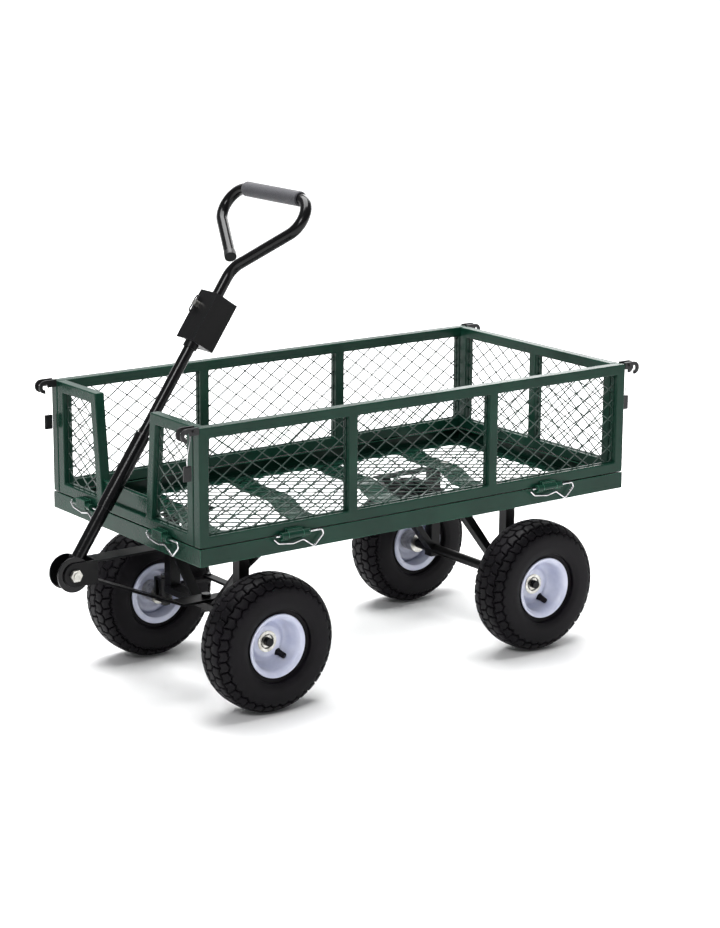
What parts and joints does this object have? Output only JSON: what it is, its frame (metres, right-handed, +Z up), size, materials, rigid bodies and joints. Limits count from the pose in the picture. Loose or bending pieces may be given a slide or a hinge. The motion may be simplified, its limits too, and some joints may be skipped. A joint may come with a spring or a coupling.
{
  "type": "garden cart",
  "caption": "Pull-along garden cart: mesh bed with fold-down panels on pneumatic wheels, steered by a drawbar handle with a loop grip and a tow coupling",
  "frame": {"origin": "on the ground under the middle of the overall length and width", "axes": "+X from the handle end towards the rear, +Z up, +Y completing a right-handed frame (the left side, as seen by someone pulling the cart, is -Y)"},
  "size_m": [1.1805, 0.542, 0.9321],
  "materials": {
    "green_paint": "gloss powder coat, hunter green",
    "black_paint": "satin powder coat, black",
    "gloss_black": "gloss paint, black",
    "white_paint": "gloss paint, off white",
    "bright_steel": "zinc plated",
    "steel_wire": "bright drawn wire",
    "tyre_rubber": "moulded rubber with a block tread",
    "foam": "closed-cell foam",
    "black_plastic": "moulded, black"
  },
  "bodies": {
    "chassis": {"bed_tray": "green_paint", "bed_floor_mesh": "green_paint", "bed_floor_straps": "green_paint", "hinge_clips": "steel_wire", "front_axle_beam": "black_paint", "front_legs": "black_paint", "rear_legs": "black_paint", "rear_axle_rod": "black_paint", "frame_fasteners": "bright_steel", "steering_pins": "bright_steel"},
    "drawbar": {"drawbar_upper_arm": "black_paint", "drawbar_lower_arm": "black_paint", "drawbar_bracket": "black_paint", "handle_pivot_bolt": "bright_steel"},
    "tie_link": {"tie_bar": "black_paint", "tie_bar_pins": "bright_steel"},
    "steer_left": {"knuckle_left": "black_paint", "front_axle_nut_left": "bright_steel"},
    "steer_right": {"knuckle_right": "black_paint", "front_axle_nut_right": "bright_steel"},
    "handle": {"handle_fork": "gloss_black", "handle_lower_tube": "gloss_black", "handle_sleeve": "gloss_black", "handle_upper_tube": "gloss_black", "handle_grip": "foam", "handle_end_cap": "black_plastic", "tow_coupling": "black_paint", "coupling_pin": "bright_steel", "coupling_clip": "steel_wire"},
    "rear_panel": {"rear_frame": "green_paint", "rear_mesh": "green_paint"},
    "front_panel": {"front_frame": "green_paint", "front_mesh": "green_paint", "front_notch_plate": "green_paint"},
    "side_panel_left": {"side_frame_left": "green_paint", "side_mesh_left": "green_paint", "corner_latches_left": "black_plastic", "lanyard_front_left": "steel_wire", "lanyard_rear_left": "steel_wire", "pull_tab_front_left": "black_plastic", "pull_tab_rear_left": "black_plastic"},
    "front_left_wheel": {"front_left_tyre": "tyre_rubber", "front_left_rim": "white_paint", "front_left_hub": "bright_steel"},
    "rear_left_wheel": {"rear_left_tyre": "tyre_rubber", "rear_left_rim": "white_paint", "rear_left_hub": "bright_steel"},
    "side_panel_right": {"side_frame_right": "green_paint", "side_mesh_right": "green_paint", "corner_latches_right": "black_plastic", "lanyard_front_right": "steel_wire", "lanyard_rear_right": "steel_wire", "pull_tab_front_right": "black_plastic", "pull_tab_rear_right": "black_plastic"},
    "front_right_wheel": {"front_right_tyre": "tyre_rubber", "front_right_rim": "white_paint", "front_right_hub": "bright_steel"},
    "rear_right_wheel": {"rear_right_tyre": "tyre_rubber", "rear_right_rim": "white_paint", "rear_right_hub": "bright_steel"}
  },
  "joints": [
    {"name": "drawbar_steer", "type": "hinge", "parent": "chassis", "child": "drawbar", "pos_m": [-0.262, 0, 0.16], "axis": [0, 0, 1], "range_deg": [-17, 17]},
    {"name": "tie_link_swing", "type": "hinge", "parent": "drawbar", "child": "tie_link", "pos_m": [-0.164, 0, 0.16], "axis": [0, 0, 1], "range_deg": [-17, 17]},
    {"name": "steer_left_turn", "type": "hinge", "parent": "chassis", "child": "steer_left", "pos_m": [-0.262, -0.145, 0.145], "axis": [0, 0, 1], "range_deg": [-17, 17]},
    {"name": "steer_right_turn", "type": "hinge", "parent": "chassis", "child": "steer_right", "pos_m": [-0.262, 0.145, 0.145], "axis": [0, 0, 1], "range_deg": [-17, 17]},
    {"name": "handle_swing", "type": "hinge", "parent": "drawbar", "child": "handle", "pos_m": [-0.5555, 0, 0.261], "axis": [0, -1, 0], "range_deg": [0, 140]},
    {"name": "side_left_fold", "type": "hinge", "parent": "chassis", "child": "side_panel_left", "pos_m": [0.058, -0.2645, 0.3445], "axis": [1, 0, 0], "range_deg": [0, 150]},
    {"name": "side_right_fold", "type": "hinge", "parent": "chassis", "child": "side_panel_right", "pos_m": [0.058, 0.2645, 0.3445], "axis": [-1, 0, 0], "range_deg": [0, 150]},
    {"name": "rear_fold", "type": "hinge", "parent": "chassis", "child": "rear_panel", "pos_m": [0.5625, 0, 0.3445], "axis": [0, 1, 0], "range_deg": [0, 150]},
    {"name": "front_fold", "type": "hinge", "parent": "chassis", "child": "front_panel", "pos_m": [-0.418, 0, 0.3445], "axis": [0, 1, 0], "range_deg": [0, 90]},
    {"name": "front_left_spin", "type": "hinge", "parent": "steer_left", "child": "front_left_wheel", "pos_m": [-0.262, -0.204, 0.13], "axis": [0, 1, 0], "continuous": true},
    {"name": "front_right_spin", "type": "hinge", "parent": "steer_right", "child": "front_right_wheel", "pos_m": [-0.262, 0.204, 0.13], "axis": [0, 1, 0], "continuous": true},
    {"name": "rear_left_spin", "type": "hinge", "parent": "chassis", "child": "rear_left_wheel", "pos_m": [0.376, -0.204, 0.13], "axis": [0, 1, 0], "continuous": true},
    {"name": "rear_right_spin", "type": "hinge", "parent": "chassis", "child": "rear_right_wheel", "pos_m": [0.376, 0.204, 0.13], "axis": [0, 1, 0], "continuous": true}
  ],
  "couplings": [
    {"joint": "tie_link_swing", "follows": "drawbar_steer", "ratio": -1},
    {"joint": "steer_left_turn", "follows": "drawbar_steer", "ratio": 1},
    {"joint": "steer_right_turn", "follows": "drawbar_steer", "ratio": 1}
  ]
}
